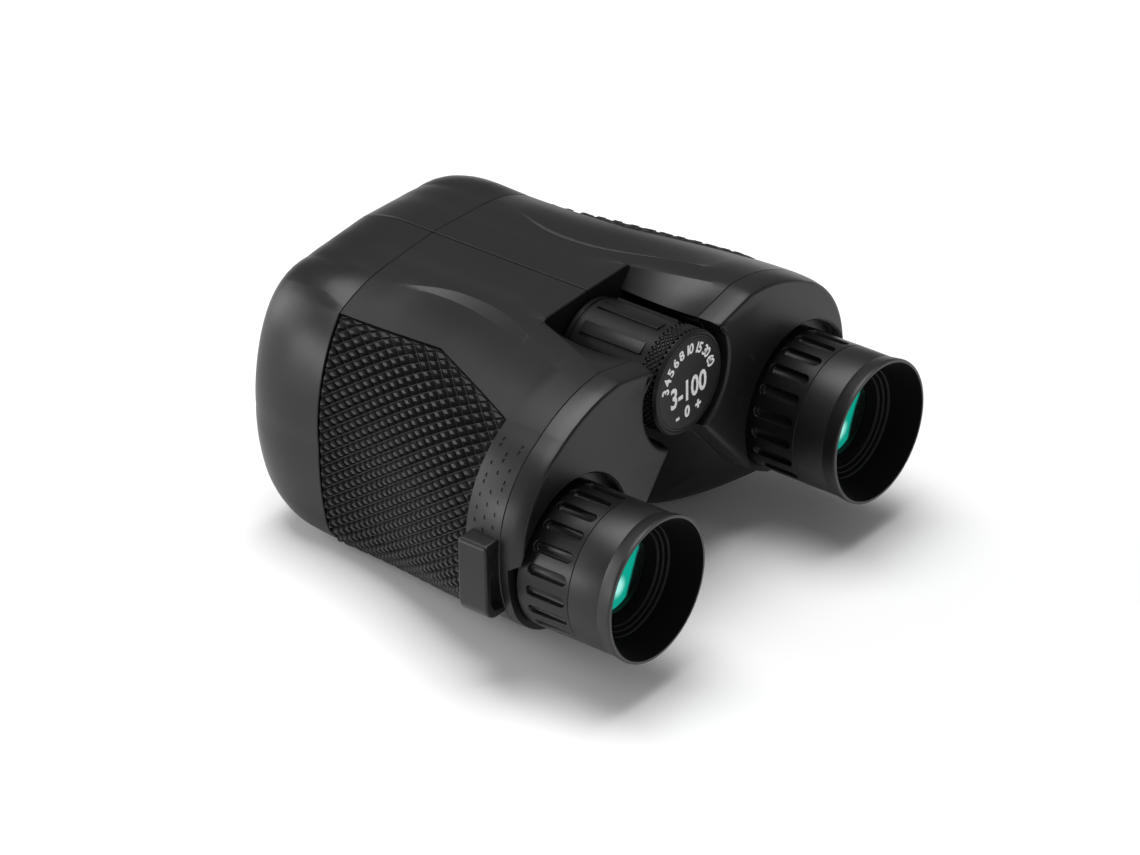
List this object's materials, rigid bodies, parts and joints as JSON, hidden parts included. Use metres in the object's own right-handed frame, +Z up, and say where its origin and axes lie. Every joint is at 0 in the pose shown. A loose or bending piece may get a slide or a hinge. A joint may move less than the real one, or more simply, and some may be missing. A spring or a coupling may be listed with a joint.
{
  "type": "binoculars",
  "caption": "Compact folding binoculars: two half bodies with rubber grips on one central hinge, a focus wheel in the middle, twist-ring eyepieces and a dioptre ring.",
  "frame": {"origin": "middle of the footprint, on the surface that the flat bellies rest on", "axes": "+X to the user's right, +Y from the eyepieces to the objectives, +Z up"},
  "size_m": [0.1152, 0.105, 0.0587],
  "materials": {
    "body_shell": "satin black moulded plastic, very fine grain",
    "grip_rubber": "matt black rubber moulded in small pyramids",
    "eyecup_rubber": "matt black soft rubber",
    "ring_plastic": "satin black plastic with cut grip slots",
    "wheel_body": "satin black with raised finger pads",
    "wheel_ring": "satin black with a diamond knurl",
    "dial_plate": "satin black plate with printed white marks",
    "inner_plastic": "dull black against stray light",
    "inner_metal": "black anodised",
    "brass": "machined",
    "steel": "plain",
    "coated_glass": "polished with a green coating",
    "plain_glass": "polished"
  },
  "bodies": {
    "left_half": {"left_housing": "body_shell", "left_grip_panel": "grip_rubber", "left_rear_cover": "body_shell", "left_front_cover": "body_shell", "left_prism_shelf": "inner_plastic", "left_prism_clips": "steel", "left_shelf_screws": "steel", "left_rear_prism": "plain_glass", "left_front_prism": "plain_glass", "left_guide_rod": "steel", "left_eyepiece_tube": "inner_plastic", "left_eyecup": "eyecup_rubber", "left_ocular_ring": "ring_plastic", "left_ocular_cell": "inner_plastic", "left_eye_lens": "coated_glass", "left_field_lens": "plain_glass", "left_ocular_spacer": "inner_plastic", "left_ocular_retainer": "inner_metal", "hinge_shaft": "inner_metal", "hinge_nut": "inner_metal", "friction_washers": "steel", "nose_cap": "body_shell"},
    "right_half": {"right_housing": "body_shell", "right_grip_panel": "grip_rubber", "right_rear_cover": "body_shell", "right_front_cover": "body_shell", "right_prism_shelf": "inner_plastic", "right_prism_clips": "steel", "right_shelf_screws": "steel", "right_rear_prism": "plain_glass", "right_front_prism": "plain_glass", "right_guide_rod": "steel", "right_eyepiece_tube": "inner_plastic"},
    "focus_wheel": {"focus_drum": "wheel_body", "knurled_ring": "wheel_ring", "dial_disc": "dial_plate", "focus_screw": "steel"},
    "focus_carriage": {"focus_nut": "brass", "focus_spool": "brass"},
    "left_objective": {"left_objective_cell": "inner_plastic", "left_objective_lens": "coated_glass", "left_objective_retainer": "inner_metal"},
    "right_objective": {"right_objective_cell": "inner_plastic", "right_objective_lens": "coated_glass", "right_objective_retainer": "inner_metal"},
    "right_dioptre": {"right_dioptre_ring": "ring_plastic", "right_eyecup": "eyecup_rubber"},
    "right_ocular": {"right_ocular_cell": "inner_plastic", "right_eye_lens": "coated_glass", "right_field_lens": "plain_glass", "right_ocular_spacer": "inner_plastic", "right_ocular_retainer": "inner_metal"}
  },
  "joints": [
    {"name": "fold", "type": "hinge", "parent": "left_half", "child": "right_half", "pos_m": [0, 0, 0.046], "axis": [0, 1, 0], "range_deg": [0, 37.4]},
    {"name": "focus_turn", "type": "hinge", "parent": "left_half", "child": "focus_wheel", "pos_m": [0, -0.02, 0.046], "axis": [0, 1, 0], "range_deg": [-90, 270]},
    {"name": "carriage_slide", "type": "slide", "parent": "left_half", "child": "focus_carriage", "axis": [0, 1, 0], "range_m": [-0.001, 0.003]},
    {"name": "left_objective_slide", "type": "slide", "parent": "left_half", "child": "left_objective", "axis": [0, 1, 0], "range_m": [-0.001, 0.003]},
    {"name": "right_objective_slide", "type": "slide", "parent": "right_half", "child": "right_objective", "axis": [0, 1, 0], "range_m": [-0.001, 0.003]},
    {"name": "dioptre_turn", "type": "hinge", "parent": "right_half", "child": "right_dioptre", "pos_m": [0.037, -0.04, 0.024], "axis": [0, -1, 0], "range_deg": [0, 82]},
    {"name": "right_ocular_slide", "type": "slide", "parent": "right_half", "child": "right_ocular", "axis": [0, 1, 0], "range_m": [0, 0.0014]}
  ],
  "couplings": [
    {"joint": "carriage_slide", "follows": "focus_turn", "m_per_rad": 0.00063662},
    {"joint": "left_objective_slide", "follows": "focus_turn", "m_per_rad": 0.00063662},
    {"joint": "right_objective_slide", "follows": "focus_turn", "m_per_rad": 0.00063662},
    {"joint": "right_ocular_slide", "follows": "dioptre_turn", "m_per_rad": 0.0009782}
  ]
}
